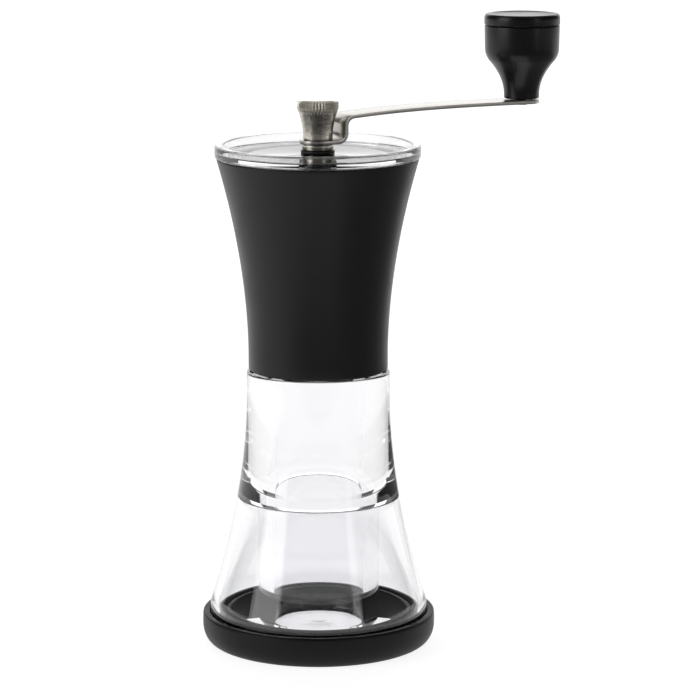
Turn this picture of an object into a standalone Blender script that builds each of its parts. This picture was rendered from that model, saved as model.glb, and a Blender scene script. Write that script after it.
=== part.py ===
"""Hand crank coffee grinder: a clear jar on a silicone base ring, a black flared hopper body with a
ceramic conical burr set inside, a clear lid, and a steel crank with a black knob.

The frame is metres, +Z up. The origin is where the grinding axis meets the table. Sizes below are
millimetres, and the few building functions turn them into metres. Every part that turns on the
grinding axis is built round the world Z axis, so its origin lies on that axis. The knob's parts are
placed by an empty on the knob's own axle.
"""

import math

import bmesh
import bpy
from mathutils import Matrix

MM = 0.001
STEPS = 36  # sides of a large turned part
FINE_STEPS = 24  # sides of a small turned part
GAP = 0.3  # between parts that rest on each other
RUNNING = 0.15  # round a shaft that turns in its hole

# Base ring, a silicone channel that the jar stands in
BASE_R = 44.2
BASE_RIM_Z = 11.8
BASE_FOOT_R = 39.8
BASE_FOOT_Z = 7.0  # where the rounded foot meets the upright side
BASE_FLOOR = 3.2
BASE_OPENING_R = 33.5
LIP_R = 35.3
LIP_Z = 12.6

# Jar
SKIRT_R = 41.3
SKIRT_TOP_Z = 15.0  # above this the wall flares in
SKIRT_WALL = 2.8
FLARE_END_Z = 12.0
JAR_FLARE = 15.27
JAR_WAIST_R = 27.02
JAR_WAIST_Z = 96.0
FLARE_POWER = 1.85
VOID_TOP_Z = 56.0
CUP_R = 22.95
BORE_R = 17.3
CUP_BOTTOM_Z = 4.8
CUP_BOTTOM_EDGE = 4.0
CUP_FLOOR_Z = 7.2
CUP_FLOOR_EDGE = 0.8
SHOULDER_Z = 104.9
NECK_R = 22.4
NECK_Z = 116.0

# Hopper body
BODY_BOTTOM_Z = SHOULDER_Z + GAP
BODY_TOP_Z = 185.3
BODY_TOP_R = 38.0
BODY_WAIST_R = 26.27
BODY_WAIST_Z = 111.0
BODY_WALL = 2.4
NECK_RECESS_R = 22.8
SHELF_Z = 118.8  # underside of the shelf that carries the burrs
SHELF_THICK = 2.2
SHELF_OPENING_R = 19.3

# Burr set
HOLDER_FLANGE_Z = (116.5, 118.5)
HOLDER_R = 19.0
OUTER_BURR_R = 17.6
OUTER_BURR_Z = (118.8, 133.8)
OUTER_BURR_MOUTH_R = (13.75, 15.6)
INNER_BURR_R = 13.6
INNER_BURR_TOP_R = 6.6
INNER_BURR_Z = (118.0, 136.6)
CORE_R = 4.9
CORE_TOP_R = 6.0
CORE_FLANGE_R = 9.2
SPRING_TOP_Z = 148.4
DETENT_PLATE_Z = (115.1, 115.8)
ADJUSTER_Z = (109.0, 114.8)
ADJUSTER_R = 9.3
ADJUSTER_LOBES = 8
ADJUSTER_SWELL = 0.07
SCREW_CIRCLE_R = 20.85
SCREW_R = 0.9
SCREW_HEAD_R = 1.5
SCREW_TIP_Z = 125.5
FUNNEL_TOP_Z = 178.6
FUNNEL_R = 33.3
FUNNEL_WALL = 1.7
FUNNEL_COLLAR_R = 22.4
FUNNEL_COLLAR_Z = 146.0
FUNNEL_THROAT_R = 16.2
FUNNEL_THROAT_Z = 137.0

# Bearing bridge and shaft
BRIDGE_Z = (150.2, 156.2)
HUB_R = 7.2
ARM_OF_BRIDGE = 4.6
BUSH_R = 5.2
BUSH_FLANGE_R = 6.6
BUSH_FLANGE_THICK = 1.2
SHAFT_R = 3.5
SHAFT_FLAT = 2.8  # half the width across the drive flats
THREAD_R = 2.9
CLIP_R = (3.1, 5.8)
CLIP_THICK = 0.8
SHAFT_BOTTOM_Z = 108.0
SHAFT_STEP_Z = 115.0  # the lower thread ends here
BURR_FLAT_TOP_Z = 138.5
SHAFT_SHOULDER_Z = 190.3
SHAFT_TOP_Z = 203.0
CRANK_FLAT = 2.3

# Lid
LID_R = 38.6
LID_Z = (185.6, 190.3)
LID_FACE_Z = 187.1
LID_FACE_THICK = 2.6
LID_LIP_R = (32.4, 34.3)
LID_LIP_Z = 181.2

# Crank
CRANK_ANGLE = math.radians(25.0)
CRANK_REACH = 85.65
STRIP_THICK = 1.3
STRIP_HALF = 6.9
HUB_MID_Z = 191.35
RISER_D = 8.8
BEND_R = 3.3
STRIP_END_Z = 202.45
STRIP_CROWN = 0.25
ARM_RISE = 1.75  # from the second bend to the knob
NUT_Z = (192.7, 207.6)
NUT_BAND_R = 7.8
NUT_FOOT_R = 5.6
NUT_WAIST_TOP_Z = 202.6

# Knob
KNOB_BOTTOM_Z = 203.6
KNOB_NECK_R = 6.75
KNOB_SWELL_R = 12.5
KNOB_SWELL_Z = (205.0, 218.0)
KNOB_EDGE_R = 14.2
KNOB_CAP_Z = (231.8, 236.0)
KNOB_CAP_R = 14.5
PIN_R = 2.0
PIN_TOP_Z = 225.6
POCKET_R = 6.0
POCKET_Z = 222.0


def start_empty():
    """Remove what the scene holds, and make the two collections."""
    for obj in list(bpy.data.objects):
        bpy.data.objects.remove(obj)
    made = []
    for name in ("coffee_grinder", "cutters"):
        collection = bpy.data.collections.new(name)
        bpy.context.scene.collection.children.link(collection)
        made.append(collection)
    return made


PARTS, CUTTERS = start_empty()


def finish(name, colour, roughness, metallic=0.0, clear=0.0):
    """A plain material: colour is linear RGB, clear is how much light passes through."""
    material = bpy.data.materials.new(name)
    material.use_nodes = True
    shader = material.node_tree.nodes["Principled BSDF"]
    shader.inputs["Base Color"].default_value = (*colour, 1.0)
    shader.inputs["Roughness"].default_value = roughness
    shader.inputs["Metallic"].default_value = metallic
    shader.inputs["Transmission Weight"].default_value = clear
    return material


SILICONE = finish("black_silicone", (0.012, 0.012, 0.014), 0.6)
ACRYLIC = finish("clear_acrylic", (0.95, 0.95, 0.95), 0.03, clear=1.0)
BODY_PLASTIC = finish("matt_black_body", (0.03, 0.03, 0.029), 0.5)
INNER_PLASTIC = finish("black_nylon", (0.02, 0.02, 0.02), 0.45)
KNOB_PLASTIC = finish("satin_black_knob", (0.016, 0.016, 0.017), 0.35)
CERAMIC = finish("white_ceramic", (0.82, 0.8, 0.75), 0.3)
STEEL = finish("brushed_stainless", (0.56, 0.55, 0.53), 0.28, metallic=1.0)
SPRING_STEEL = finish("spring_steel", (0.45, 0.45, 0.46), 0.22, metallic=1.0)
WHITE_NYLON = finish("white_nylon", (0.75, 0.74, 0.7), 0.4)
RIVET_BRONZE = finish("bronze_rivet", (0.36, 0.2, 0.1), 0.35, metallic=1.0)


def add_object(name, mesh, material):
    obj = bpy.data.objects.new(name, mesh)
    PARTS.objects.link(obj)
    if material:
        mesh.materials.append(material)
    mesh.shade_smooth()
    mesh.set_sharp_from_angle(angle=math.radians(35))
    return obj


def as_cutter(obj):
    """Hide a shape that only cuts or joins another."""
    for collection in list(obj.users_collection):
        collection.objects.unlink(obj)
    CUTTERS.objects.link(obj)
    obj.hide_render = True
    obj.display_type = "WIRE"
    return obj


def boolean(obj, other, operation="DIFFERENCE"):
    modifier = obj.modifiers.new(f"{operation.lower()}_{other.name}", "BOOLEAN")
    modifier.operation = operation
    modifier.solver = "EXACT"
    modifier.object = other
    return obj


def arc(centre, radius, start, end, count):
    """Points (r, z) on a circle, angles in degrees from +r towards +z, both ends included."""
    angles = [math.radians(start + (end - start) * i / count) for i in range(count + 1)]
    return [(centre[0] + radius * math.cos(a), centre[1] + radius * math.sin(a)) for a in angles]


def turned(name, profile, material, steps=STEPS, ring=True):
    """Turn a profile of (r, z) round Z. It runs down its outer side. A ring's profile is a loop;
    any other starts and ends on the axis."""
    mesh = bpy.data.meshes.new(name)
    count = len(profile)
    edges = [(i, i + 1) for i in range(count - 1)]
    if ring:
        edges.append((count - 1, 0))
    mesh.from_pydata([(r * MM, 0.0, z * MM) for r, z in profile], edges, [])
    obj = add_object(name, mesh, material)
    screw = obj.modifiers.new("turn", "SCREW")
    screw.steps = screw.render_steps = steps
    screw.use_merge_vertices = True
    screw.merge_threshold = 1e-7
    screw.use_smooth_shade = True
    return obj


def box(name, low, high, material=None):
    """A box between two corners, in millimetres."""
    bm = bmesh.new()
    bmesh.ops.create_cube(bm, size=1.0)
    size = [(b - a) * MM for a, b in zip(low, high)]
    middle = [(a + b) / 2 * MM for a, b in zip(low, high)]
    bmesh.ops.transform(bm, matrix=Matrix.Translation(middle) @ Matrix.Diagonal((*size, 1.0)), verts=bm.verts)
    return from_bmesh(name, bm, material)


def rod(name, radius, low, high, material=None, flat=None, sides=FINE_STEPS, top_radius=None):
    """An upright cylinder or cone. flat cuts two drive flats on it, at x = -flat and +flat."""
    bm = bmesh.new()
    bmesh.ops.create_cone(
        bm,
        cap_ends=True,
        segments=sides,
        radius1=radius * MM,
        radius2=(radius if top_radius is None else top_radius) * MM,
        depth=(high - low) * MM,
        matrix=Matrix.Translation((0.0, 0.0, (low + high) / 2 * MM)),
    )
    if flat is not None:
        for vert in bm.verts:
            vert.co.x = max(-flat * MM, min(flat * MM, vert.co.x))
    return from_bmesh(name, bm, material)


def from_bmesh(name, bm, material):
    mesh = bpy.data.meshes.new(name)
    bm.to_mesh(mesh)
    bm.free()
    return add_object(name, mesh, material)


def jar_radius(z):
    """The jar's outer radius: straight round its waist, flaring to the skirt below."""
    drop = max(0.0, (JAR_WAIST_Z - z) / (JAR_WAIST_Z - FLARE_END_Z))
    return JAR_WAIST_R + JAR_FLARE * drop**FLARE_POWER


def body_radius(z):
    """The hopper body's outer radius: straight at the waist, flaring to the lid above."""
    rise = max(0.0, (z - BODY_WAIST_Z) / (BODY_TOP_Z - BODY_WAIST_Z))
    return BODY_WAIST_R + (BODY_TOP_R - BODY_WAIST_R) * rise**FLARE_POWER


def span(start, end, count):
    """Heights from start to end, both included."""
    return [start + (end - start) * i / count for i in range(count + 1)]


# ---- what stands on the table ----


def make_base_ring():
    edge = BASE_R - BASE_FOOT_R
    foot = [
        (BASE_FOOT_R + edge * math.cos(a), BASE_FOOT_Z * (1 + math.sin(a)))
        for a in (math.radians(d) for d in (0, -22, -45, -68, -90))
    ]
    channel_out = SKIRT_R + GAP
    profile = [
        (channel_out, BASE_RIM_Z - 0.4),
        (channel_out + 0.4, BASE_RIM_Z),
        *arc((BASE_R - 0.9, BASE_RIM_Z - 0.9), 0.9, 90, 0, 2),
        *foot,
        (BASE_OPENING_R, 0.0),
        (BASE_OPENING_R, LIP_Z - 0.5),
        (BASE_OPENING_R + 0.5, LIP_Z),
        (LIP_R - 0.5, LIP_Z),
        (LIP_R, LIP_Z - 0.5),
        (LIP_R, BASE_FLOOR),
        (channel_out, BASE_FLOOR),
    ]
    return turned("base_ring", profile, SILICONE)


def make_jar():
    foot_z = BASE_FLOOR + GAP
    skirt_in = SKIRT_R - SKIRT_WALL
    profile = [
        (0.0, CUP_FLOOR_Z),
        *arc((BORE_R - CUP_FLOOR_EDGE, CUP_FLOOR_Z + CUP_FLOOR_EDGE), CUP_FLOOR_EDGE, -90, 0, 2),
        (BORE_R, NECK_Z),
        (NECK_R, NECK_Z),
        (NECK_R, SHOULDER_Z),
        *arc((JAR_WAIST_R - 1.2, SHOULDER_Z - 1.2), 1.2, 90, 0, 2),
        *[(jar_radius(z), z) for z in span(JAR_WAIST_Z, SKIRT_TOP_Z, 8)],
        (SKIRT_R, foot_z),
        (skirt_in, foot_z),
        *[(jar_radius(z) - SKIRT_WALL, z) for z in span(SKIRT_TOP_Z, VOID_TOP_Z, 4)],
        (CUP_R, VOID_TOP_Z),
        *arc((CUP_R - CUP_BOTTOM_EDGE, CUP_BOTTOM_Z + CUP_BOTTOM_EDGE), CUP_BOTTOM_EDGE, 0, -90, 4),
        (0.0, CUP_BOTTOM_Z),
    ]
    return turned("jar", profile, ACRYLIC, ring=False)


# ---- hopper body and what it holds ----


def make_hopper_shell():
    shelf_top = SHELF_Z + SHELF_THICK
    profile = [
        (body_radius(BODY_TOP_Z) - BODY_WALL, BODY_TOP_Z),
        (body_radius(BODY_TOP_Z) - 0.4, BODY_TOP_Z),
        (body_radius(BODY_TOP_Z), BODY_TOP_Z - 0.5),
        *[(body_radius(z), z) for z in span(180.0, BODY_WAIST_Z, 7)],
        *arc((BODY_WAIST_R - 1.0, BODY_BOTTOM_Z + 1.0), 1.0, 0, -90, 2),
        (NECK_RECESS_R, BODY_BOTTOM_Z),
        (NECK_RECESS_R, SHELF_Z),
        (SHELF_OPENING_R, SHELF_Z),
        (SHELF_OPENING_R, shelf_top),
        (body_radius(shelf_top) - BODY_WALL, shelf_top),
        *[(body_radius(z) - BODY_WALL, z) for z in span(130.0, 180.0, 4)],
    ]
    return turned("hopper_shell", profile, BODY_PLASTIC)


def make_funnel():
    collar_in = HOLDER_R + 0.4
    shelf_top = SHELF_Z + SHELF_THICK + GAP
    lip_z = OUTER_BURR_Z[1] + 0.4
    profile = [
        (FUNNEL_R, FUNNEL_TOP_Z),
        (FUNNEL_R, FUNNEL_TOP_Z - 1.4),
        (FUNNEL_R - FUNNEL_WALL, FUNNEL_TOP_Z - 1.4),
        (FUNNEL_COLLAR_R, FUNNEL_COLLAR_Z),
        (FUNNEL_COLLAR_R, shelf_top),
        (collar_in, shelf_top),
        (collar_in, lip_z),
        (FUNNEL_THROAT_R, lip_z),
        (FUNNEL_THROAT_R, FUNNEL_THROAT_Z),
        (20.6, FUNNEL_COLLAR_Z + 1.5),
        (30.0, FUNNEL_TOP_Z - 1.6),
        (30.5, FUNNEL_TOP_Z),
    ]
    return turned("hopper_funnel", profile, INNER_PLASTIC)


def make_bridge():
    """Three arms across the hopper, from a ring that drops into the funnel to a bearing hub."""
    low, high = BRIDGE_Z
    ring = turned(
        "bearing_bridge",
        [(22.9, high), (20.95, low), (19.2, low), (20.6, high)],
        INNER_PLASTIC,
    )
    bore = BUSH_R + 0.2
    hub = as_cutter(
        turned("bridge_hub", [(HUB_R, high), (HUB_R, low), (bore, low), (bore, high)], None, steps=FINE_STEPS)
    )
    boolean(ring, hub, "UNION")
    for i in range(3):
        arm = as_cutter(
            box(f"bridge_arm_{i + 1}", (6.4, -ARM_OF_BRIDGE / 2, low + 0.4), (20.6, ARM_OF_BRIDGE / 2, high - 0.6))
        )
        arm.rotation_euler.z = math.radians(90 + 120 * i)
        boolean(ring, arm, "UNION")
    return ring


def make_upper_bush():
    low, high = BRIDGE_Z[0] + 0.2, BRIDGE_Z[1] + GAP
    inner = SHAFT_R + RUNNING
    top = high + BUSH_FLANGE_THICK
    profile = [(BUSH_FLANGE_R, top), (BUSH_FLANGE_R, high), (BUSH_R, high), (BUSH_R, low), (inner, low), (inner, top)]
    return turned("upper_bush", profile, WHITE_NYLON, steps=FINE_STEPS)


def make_burr_holder():
    low, high = HOLDER_FLANGE_Z
    top = OUTER_BURR_Z[1]
    inner = OUTER_BURR_R + 0.3
    profile = [
        (HOLDER_R, top),
        (HOLDER_R, high),
        (NECK_R, high),
        (NECK_R, low),
        (15.0, low),
        (15.0, high),
        (inner, high),
        (inner, top),
    ]
    return turned("burr_holder", profile, INNER_PLASTIC)


def make_outer_burr():
    low, high = OUTER_BURR_Z
    mouth, throat = OUTER_BURR_MOUTH_R
    profile = [
        (OUTER_BURR_R, high),
        (OUTER_BURR_R, low),
        (mouth + 0.4, low),
        (mouth, low + 0.6),
        (mouth, low + 2.0),
        (throat, high),
    ]
    return turned("outer_burr", profile, CERAMIC)


def screw_shape(name, clearance, material, low_extra=0.0):
    """A countersunk screw, pointing up: clearance grows it all round for its hole."""
    low = HOLDER_FLANGE_Z[0] + 0.1 - low_extra
    head = SCREW_HEAD_R + clearance
    shank = SCREW_R + clearance
    tip = SCREW_TIP_Z + clearance
    profile = [
        (0.0, tip),
        (shank, tip - 0.4),
        (shank, low + low_extra + 1.3),
        (head, low + low_extra + 0.3),
        (head, low),
        (0.0, low),
    ]
    return turned(name, profile, material, steps=8, ring=False)


def place_on_circle(obj, index):
    angle = math.radians(30 + 120 * index)
    obj.location = (SCREW_CIRCLE_R * MM * math.cos(angle), SCREW_CIRCLE_R * MM * math.sin(angle), 0.0)
    return obj


def make_holder_screws(clamped):
    """Three screws that clamp the burr holder and the shell's shelf up against the funnel."""
    for i in range(3):
        place_on_circle(screw_shape(f"holder_screw_{i + 1}", 0.0, STEEL), i)
        hole = place_on_circle(as_cutter(screw_shape(f"screw_hole_{i + 1}", 0.2, None, low_extra=1.0)), i)
        for obj in clamped:
            boolean(obj, hole)


# ---- what turns with the crank ----


def make_shaft():
    """Shaft with drive flats for the inner burr and for the crank, threaded at both ends."""
    groove_z = BRIDGE_Z[1] + GAP + BUSH_FLANGE_THICK + 0.4
    profile = [
        (0.0, SHAFT_TOP_Z),
        (THREAD_R - 0.5, SHAFT_TOP_Z),
        (THREAD_R, SHAFT_TOP_Z - 0.5),
        (THREAD_R, SHAFT_SHOULDER_Z),
        (SHAFT_R, SHAFT_SHOULDER_Z),
        (SHAFT_R, groove_z + CLIP_THICK + 0.4),
        (CLIP_R[0] - 0.3, groove_z + CLIP_THICK + 0.4),
        (CLIP_R[0] - 0.3, groove_z),
        (SHAFT_R, groove_z),
        (SHAFT_R, SHAFT_STEP_Z),
        (THREAD_R, SHAFT_STEP_Z),
        (THREAD_R, SHAFT_BOTTOM_Z + 0.5),
        (THREAD_R - 0.5, SHAFT_BOTTOM_Z),
        (0.0, SHAFT_BOTTOM_Z),
    ]
    shaft = turned("drive_shaft", profile, STEEL, steps=FINE_STEPS, ring=False)
    for side in (-1, 1):
        for label, flat, low, high in (
            ("burr", SHAFT_FLAT, SHAFT_STEP_Z - 1.0, BURR_FLAT_TOP_Z),
            ("crank", CRANK_FLAT, SHAFT_SHOULDER_Z + 0.02, SHAFT_TOP_Z + 1.0),
        ):
            near, far = sorted((side * flat, side * (SHAFT_R + 1.0)))
            flat_cut = box(f"{label}_flat_{'left' if side < 0 else 'right'}", (near, -5, low), (far, 5, high))
            flat_cut.rotation_euler.z = CRANK_ANGLE
            boolean(shaft, as_cutter(flat_cut))
    return shaft


def washer(name, inner, outer, low, high, material):
    profile = [(outer, high), (outer, low), (inner, low), (inner, high)]
    return turned(name, profile, material, steps=FINE_STEPS)


def make_shaft_clip():
    low = BRIDGE_Z[1] + GAP + BUSH_FLANGE_THICK + 0.6
    clip = washer("shaft_clip", *CLIP_R, low, low + CLIP_THICK, SPRING_STEEL)
    mouth = as_cutter(box("clip_mouth", (0.0, -2.6, low - 1.0), (8.0, 2.6, low + 2.0)))
    return boolean(clip, mouth)


def make_spring():
    """Compression spring that holds the inner burr down on its adjusting nut."""
    low, high = INNER_BURR_Z[1] + 1.7, SPRING_TOP_Z
    wire, coil_r, turns = 0.5, 4.75, 4.5
    count = int(turns * 12)
    curve = bpy.data.curves.new("burr_spring", "CURVE")
    curve.dimensions = "3D"
    curve.bevel_depth = wire * MM
    curve.bevel_resolution = 2
    curve.use_fill_caps = True
    spline = curve.splines.new("POLY")
    spline.points.add(count)
    for i, point in enumerate(spline.points):
        angle = 2 * math.pi * turns * i / count
        z = low + wire + (high - low - 2 * wire) * i / count
        point.co = (coil_r * MM * math.cos(angle), coil_r * MM * math.sin(angle), z * MM, 1.0)
    curve.materials.append(SPRING_STEEL)
    obj = bpy.data.objects.new("burr_spring", curve)
    PARTS.objects.link(obj)
    return obj


def make_burr_core():
    """Plastic core that carries the inner burr and slides on the shaft's flats."""
    low, high = INNER_BURR_Z[0] - 1.8, INNER_BURR_Z[1] + 1.3
    inner_low = INNER_BURR_Z[0] - GAP
    profile = [
        (0.0, high),
        (CORE_TOP_R, high),
        (CORE_TOP_R, INNER_BURR_Z[1] + GAP),
        (CORE_R, INNER_BURR_Z[1] + GAP),
        (CORE_R, inner_low),
        (CORE_FLANGE_R, inner_low),
        (CORE_FLANGE_R, low),
        (0.0, low),
    ]
    core = turned("burr_core", profile, INNER_PLASTIC, steps=FINE_STEPS, ring=False)
    hole = rod("core_hole", SHAFT_R + RUNNING, low - 2, high + 2, flat=SHAFT_FLAT + RUNNING)
    hole.rotation_euler.z = CRANK_ANGLE
    return boolean(core, as_cutter(hole))


def make_inner_burr():
    low, high = INNER_BURR_Z
    hole = CORE_R + 0.2
    profile = [
        (INNER_BURR_TOP_R, high),
        (INNER_BURR_R - 0.3, low + 1.4),
        (INNER_BURR_R, low + 0.8),
        (INNER_BURR_R - 0.4, low),
        (hole, low),
        (hole, high),
    ]
    return turned("inner_burr", profile, CERAMIC)


def make_adjusting_nut():
    """Eight-lobed nut that sets the gap between the burrs."""
    low, high = ADJUSTER_Z
    bm = bmesh.new()
    bmesh.ops.create_cone(
        bm,
        cap_ends=True,
        segments=STEPS,
        radius1=ADJUSTER_R * MM,
        radius2=ADJUSTER_R * MM,
        depth=(high - low) * MM,
        matrix=Matrix.Translation((0.0, 0.0, (low + high) / 2 * MM)),
    )
    for vert in bm.verts:
        angle = math.atan2(vert.co.y, vert.co.x)
        swell = 1.0 + ADJUSTER_SWELL * math.cos(ADJUSTER_LOBES * angle)
        vert.co.x *= swell
        vert.co.y *= swell
    nut = from_bmesh("adjusting_nut", bm, INNER_PLASTIC)
    return boolean(nut, as_cutter(rod("adjusting_thread", THREAD_R + RUNNING, low - 1, high + 1)))


# ---- lid ----


def make_lid():
    low, high = LID_Z
    lip_in, lip_out = LID_LIP_R
    face_low = LID_FACE_Z - LID_FACE_THICK
    profile = [
        (LID_R - 2.6, high),
        *arc((LID_R - 0.8, high - 0.8), 0.8, 90, 0, 2),
        *arc((LID_R - 0.6, low + 0.6), 0.6, 0, -90, 2),
        (lip_out, low),
        (lip_out, LID_LIP_Z),
        (lip_in, LID_LIP_Z),
        (lip_in, face_low),
        (5.1, face_low),
        (5.1, LID_FACE_Z),
        (LID_R - 3.4, LID_FACE_Z),
    ]
    return turned("lid", profile, ACRYLIC)


def make_lid_bush():
    inner = SHAFT_R + RUNNING
    top = LID_FACE_Z + 1.1
    low = LID_FACE_Z - 3.4
    profile = [
        (6.3, top),
        (6.3, LID_FACE_Z + 0.2),
        (4.8, LID_FACE_Z + 0.2),
        (4.8, low),
        (inner, low),
        (inner, top),
    ]
    return turned("lid_bush", profile, INNER_PLASTIC, steps=FINE_STEPS)


# ---- crank ----


def strip_path():
    """The strip's middle line as (distance, height): flat hub, riser with two bends, long arm."""
    first = arc((RISER_D - BEND_R, HUB_MID_Z + BEND_R), BEND_R, -90, 0, 5)
    arm_start_z = STRIP_END_Z - ARM_RISE
    second = arc((RISER_D + BEND_R, arm_start_z - BEND_R), BEND_R, 180, 93, 5)
    start_d, start_z = second[-1]
    hub_tip, end_tip = -STRIP_HALF, CRANK_REACH + STRIP_HALF
    hub = [(hub_tip + STRIP_HALF * (1 - math.cos(math.radians(a))), HUB_MID_Z) for a in (12, 34, 56, 78, 90)]
    arm = []
    for i in range(1, 9):
        t = i / 8
        d = start_d + (CRANK_REACH - start_d) * t
        rise = (STRIP_END_Z + STRIP_CROWN - start_z) * (1 - (1 - t) ** 3)
        arm.append((d, start_z + rise - STRIP_CROWN * t**2))
    tip = [(end_tip - STRIP_HALF * (1 - math.cos(math.radians(a))), STRIP_END_Z) for a in (78, 56, 34, 12)]
    return hub + first + second + arm + tip


def strip_half_width(distance):
    """Half the strip's width: constant, with a half-round end at the hub and at the knob."""
    over = max(0.0, -distance, distance - CRANK_REACH)
    return math.sqrt(max(STRIP_HALF**2 - over**2, 1.0))


def make_crank_arm():
    bm = bmesh.new()
    rows = []
    for distance, z in strip_path():
        half = strip_half_width(distance)
        rows.append([bm.verts.new((distance * MM, side * half * MM, z * MM)) for side in (-1, 1)])
    for (a, b), (c, d) in zip(rows, rows[1:]):
        bm.faces.new((a, c, d, b))
    arm = from_bmesh("crank_arm", bm, STEEL)
    wall = arm.modifiers.new("thickness", "SOLIDIFY")
    wall.thickness = STRIP_THICK * MM
    wall.offset = 0.0
    wall.use_even_offset = True
    hub_hole = rod(
        "arm_hub_hole", THREAD_R + RUNNING, HUB_MID_Z - 3.0, HUB_MID_Z + 3.0, flat=CRANK_FLAT + RUNNING
    )
    pin_hole = rod("arm_pin_hole", PIN_R + RUNNING, STRIP_END_Z - 3.0, STRIP_END_Z + 3.0)
    pin_hole.location.x = CRANK_REACH * MM
    for hole in (hub_hole, pin_hole):
        as_cutter(hole).parent = arm
        boolean(arm, hole)
    arm.rotation_euler.z = CRANK_ANGLE
    return arm


def make_crank_nut():
    low, high = NUT_Z
    bore, bore_top = THREAD_R + RUNNING, SHAFT_TOP_Z + 0.6
    waist = [
        (NUT_FOOT_R + (NUT_BAND_R - NUT_FOOT_R) * t**2.4, low + 1.0 + (NUT_WAIST_TOP_Z - low - 1.0) * t)
        for t in (1.0, 0.85, 0.7, 0.5, 0.25, 0.0)
    ]
    profile = [
        (0.0, high),
        (4.4, high - 0.25),
        (NUT_BAND_R - 0.9, high - 0.8),
        (NUT_BAND_R, high - 1.6),
        *waist,
        (NUT_FOOT_R, low),
        (bore, low),
        (bore, bore_top),
        (0.0, bore_top + 0.8),
    ]
    return turned("crank_nut", profile, STEEL, steps=FINE_STEPS, ring=False)


# ---- knob ----


def knob_radius(z):
    """The knob body's radius: a straight neck that swells in a curve to the wide grip."""
    low, high = KNOB_SWELL_Z
    rise = max(0.0, (z - low) / (high - low))
    return KNOB_NECK_R + (KNOB_SWELL_R - KNOB_NECK_R) * rise**2


def make_knob_body():
    neck = [(knob_radius(z), z) for z in span(KNOB_SWELL_Z[1], KNOB_SWELL_Z[0], 5)]
    bore = PIN_R + RUNNING
    profile = [
        (POCKET_R, KNOB_CAP_Z[0] - GAP),
        (KNOB_CAP_R - 0.1, KNOB_CAP_Z[0] - GAP),
        (KNOB_EDGE_R, 222.0),
        (KNOB_EDGE_R - 0.35, 220.2),
        (13.1, 218.8),
        *neck,
        (KNOB_NECK_R, KNOB_BOTTOM_Z),
        (5.0, KNOB_BOTTOM_Z),
        (5.0, KNOB_BOTTOM_Z + 1.0),
        (bore, KNOB_BOTTOM_Z + 1.0),
        (bore, POCKET_Z),
        (POCKET_R, POCKET_Z),
    ]
    return turned("knob_body", profile, KNOB_PLASTIC, steps=FINE_STEPS)


def make_knob_cap():
    low, high = KNOB_CAP_Z
    edge = 1.6
    profile = [
        (0.0, high - 0.3),
        (KNOB_CAP_R - 3.0, high - 0.3),
        *arc((KNOB_CAP_R - edge, high - edge), edge, 90, 0, 3),
        (KNOB_CAP_R, low),
        (POCKET_R - 0.3, low),
        (POCKET_R - 0.3, low - 2.0),
        (POCKET_R - 1.8, low - 2.0),
        (POCKET_R - 1.8, low),
        (0.0, low),
    ]
    return turned("knob_cap", profile, KNOB_PLASTIC, steps=FINE_STEPS, ring=False)


def make_knob_pin():
    """Axle riveted through the strip: its coppery head shows under the strip."""
    head_z = STRIP_END_Z - STRIP_THICK / 2 - 0.1
    profile = [
        (0.0, PIN_TOP_Z),
        (PIN_R - 0.3, PIN_TOP_Z),
        (PIN_R, PIN_TOP_Z - 0.4),
        (PIN_R, head_z),
        (2.7, head_z),
        (2.5, head_z - 0.6),
        (0.0, head_z - 0.9),
    ]
    return turned("knob_pin", profile, RIVET_BRONZE, steps=16, ring=False)


def make_knob():
    """The knob's parts, all placed by an empty on the knob's axle."""
    axle = bpy.data.objects.new("knob_axle_place", None)
    PARTS.objects.link(axle)
    axle.location = (
        CRANK_REACH * MM * math.cos(CRANK_ANGLE),
        CRANK_REACH * MM * math.sin(CRANK_ANGLE),
        0.0,
    )
    low = KNOB_BOTTOM_Z - 0.2
    for obj in (
        make_knob_body(),
        make_knob_cap(),
        make_knob_pin(),
        washer("knob_washer", PIN_R + 0.2, 4.6, low, low + 0.8, WHITE_NYLON),
        washer("knob_retainer", PIN_R + 0.1, 4.4, POCKET_Z + GAP, POCKET_Z + 1.2, SPRING_STEEL),
    ):
        obj.parent = axle


def build():
    make_base_ring()
    make_jar()
    shell = make_hopper_shell()
    funnel = make_funnel()
    make_bridge()
    make_upper_bush()
    holder = make_burr_holder()
    make_outer_burr()
    make_holder_screws((shell, funnel, holder))
    make_shaft()
    make_shaft_clip()
    washer("thrust_washer", SHAFT_R + RUNNING, 6.4, SPRING_TOP_Z + 0.4, SPRING_TOP_Z + 1.4, SPRING_STEEL)
    make_spring()
    make_burr_core()
    make_inner_burr()
    washer("detent_plate", SHAFT_R + RUNNING, 7.6, *DETENT_PLATE_Z, SPRING_STEEL)
    make_adjusting_nut()
    make_lid()
    make_lid_bush()
    washer("arm_washer", SHAFT_R + RUNNING, 5.9, LID_FACE_Z + 1.3, 190.4, STEEL)
    make_crank_arm()
    make_crank_nut()
    make_knob()


build()
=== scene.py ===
"""Looks of a hand crank coffee grinder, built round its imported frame.

The frame is metres, +Z up, with the grinding axis on the world Z axis and the table at Z = 0. Sizes
in this file are millimetres, and the modelling functions turn them into metres. Each sub-assembly is a
class: its fields are its sizes, its methods model and dress its pieces.
"""

import logging
import math
from collections.abc import Callable, Iterator, Sequence
from dataclasses import dataclass
from enum import Enum

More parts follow.
